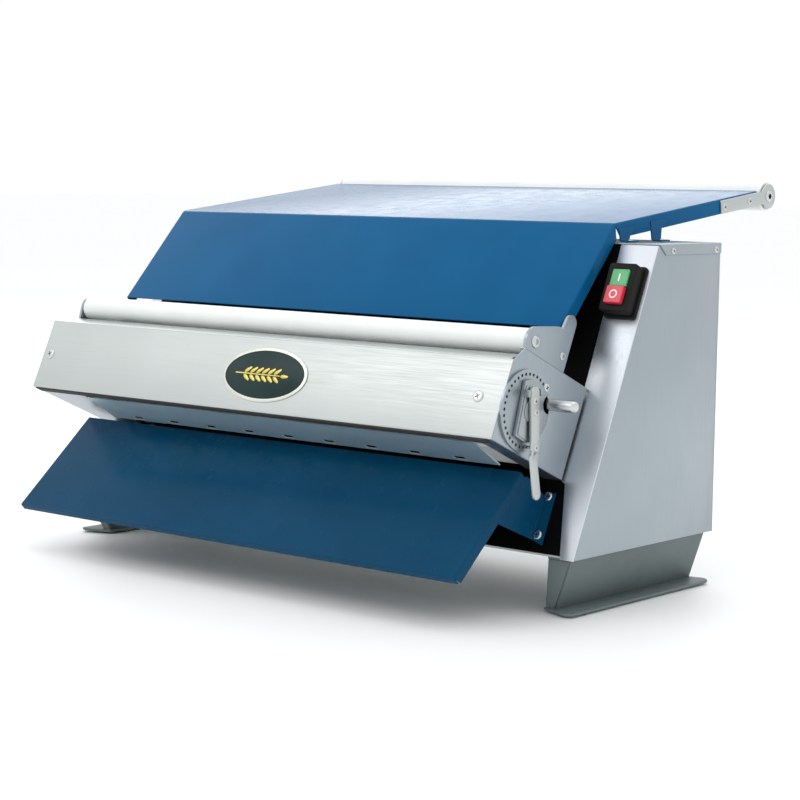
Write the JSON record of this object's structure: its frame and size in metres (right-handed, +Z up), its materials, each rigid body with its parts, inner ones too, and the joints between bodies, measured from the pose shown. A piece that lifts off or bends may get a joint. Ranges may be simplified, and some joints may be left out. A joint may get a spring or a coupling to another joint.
{
  "type": "pasta roller machine",
  "caption": "Electric countertop dough sheeter: sloped stainless roller head with an indexed thickness adjuster, blue feed hood with rear roller, blue exit tray, folded feet.",
  "frame": {"origin": "centre of the bounding box at the height of the surface the machine stands on", "axes": "+X to the adjuster end, +Y to the back, +Z up"},
  "size_m": [0.7344, 0.5665, 0.4279],
  "materials": {
    "painted_blue": "gloss powder coat",
    "stainless": "fine brushed",
    "graphite": "satin",
    "black_plate": "matt",
    "white_roller": "smooth",
    "machined_steel": "turned",
    "zinc_screws": "polished",
    "bronze": "satin",
    "motor_paint": "satin",
    "black_plastic": "fine grain",
    "green_plastic": "gloss",
    "red_plastic": "gloss",
    "rubber": "matt",
    "badge_enamel": "gloss"
  },
  "bodies": {
    "body": {"foot_rail_left": "graphite", "foot_rail_right": "graphite", "foot_pads": "rubber", "base_pan": "stainless", "front_plate": "black_plate", "front_strip_left": "stainless", "front_strip_right": "stainless", "side_cover_left": "stainless", "side_cover_right": "stainless", "top_cover": "stainless", "rear_cover": "stainless", "cover_screws": "zinc_screws", "side_frame_left": "machined_steel", "side_frame_right": "machined_steel", "tie_bars": "machined_steel", "feed_hood": "painted_blue", "hood_screws": "zinc_screws", "roller_bracket_left": "stainless", "roller_bracket_right": "stainless", "bracket_screws": "zinc_screws", "rear_axle": "machined_steel", "head_front_cover": "stainless", "head_top_cover": "stainless", "head_side_cover_left": "stainless", "head_side_cover_right": "stainless", "end_lids": "stainless", "head_screws": "zinc_screws", "badge": "badge_enamel", "arm_left": "stainless", "arm_right": "stainless", "guide_axle": "machined_steel", "roller_frame_left": "machined_steel", "roller_frame_right": "machined_steel", "fixed_bushes": "bronze", "lower_guard": "stainless", "scrapers": "white_roller", "index_plate": "stainless", "exit_tray": "painted_blue", "tray_cheeks": "painted_blue", "tray_bolts": "zinc_screws", "motor": "motor_paint", "gearbox": "motor_paint", "motor_bracket": "machined_steel", "switch_housing": "black_plastic", "cable_gland": "black_plastic"},
    "fixed_roller": {"fixed_roller": "white_roller", "drive_gear": "machined_steel", "fixed_timing_gear": "machined_steel"},
    "pinion": {"drive_pinion": "machined_steel"},
    "carriage": {"bearing_blocks": "bronze"},
    "adjustable_roller": {"adjustable_roller": "white_roller", "adjustable_timing_gear": "machined_steel"},
    "adjuster": {"adjuster_hub": "machined_steel", "grip_rod": "machined_steel"},
    "index_lever": {"index_lever": "machined_steel", "index_pin": "zinc_screws"},
    "guide_roller": {"guide_roller": "white_roller"},
    "rear_roller": {"rear_roller": "white_roller"},
    "start_button": {"start_button": "green_plastic"},
    "stop_button": {"stop_button": "red_plastic"}
  },
  "joints": [
    {"name": "fixed_roller_spin", "type": "hinge", "parent": "body", "child": "fixed_roller", "pos_m": [-0.00575, -0.14728, 0.18351], "axis": [1, 0, 0], "continuous": true},
    {"name": "drive_pinion_spin", "type": "hinge", "parent": "body", "child": "pinion", "pos_m": [-0.24575, -0.09704, 0.16113], "axis": [1, 0, 0], "continuous": true},
    {"name": "adjust_turn", "type": "hinge", "parent": "body", "child": "adjuster", "pos_m": [0.33025, -0.19936, 0.20669], "axis": [1, 0, 0], "range_deg": [-230, 0]},
    {"name": "carriage_slide", "type": "slide", "parent": "body", "child": "carriage", "axis": [0, -0.9135, 0.4067], "range_m": [-0.0048, 0]},
    {"name": "adjustable_roller_spin", "type": "hinge", "parent": "carriage", "child": "adjustable_roller", "pos_m": [-0.00575, -0.19936, 0.20669], "axis": [1, 0, 0], "continuous": true},
    {"name": "index_lever_rock", "type": "hinge", "parent": "adjuster", "child": "index_lever", "pos_m": [0.3387, -0.19936, 0.22469], "axis": [0, -1, 0], "range_deg": [0, 5], "stiffness_Nm_per_rad": 0.6, "springref_deg": -2.86},
    {"name": "guide_roller_spin", "type": "hinge", "parent": "body", "child": "guide_roller", "pos_m": [-0.00575, -0.17292, 0.27099], "axis": [1, 0, 0], "continuous": true},
    {"name": "rear_roller_spin", "type": "hinge", "parent": "body", "child": "rear_roller", "pos_m": [-0.00575, 0.26728, 0.41188], "axis": [1, 0, 0], "continuous": true},
    {"name": "start_press", "type": "slide", "parent": "body", "child": "start_button", "axis": [0, 0.9135, -0.4067], "range_m": [0, 0.003], "stiffness_N_per_m": 300, "springref_m": -0.002},
    {"name": "stop_press", "type": "slide", "parent": "body", "child": "stop_button", "axis": [0, 0.9135, -0.4067], "range_m": [0, 0.003], "stiffness_N_per_m": 300, "springref_m": -0.002}
  ],
  "couplings": [
    {"joint": "drive_pinion_spin", "follows": "fixed_roller_spin", "ratio": -2.1429},
    {"joint": "adjustable_roller_spin", "follows": "fixed_roller_spin", "ratio": -1},
    {"joint": "carriage_slide", "follows": "adjust_turn", "m_per_rad": 0.00119}
  ]
}
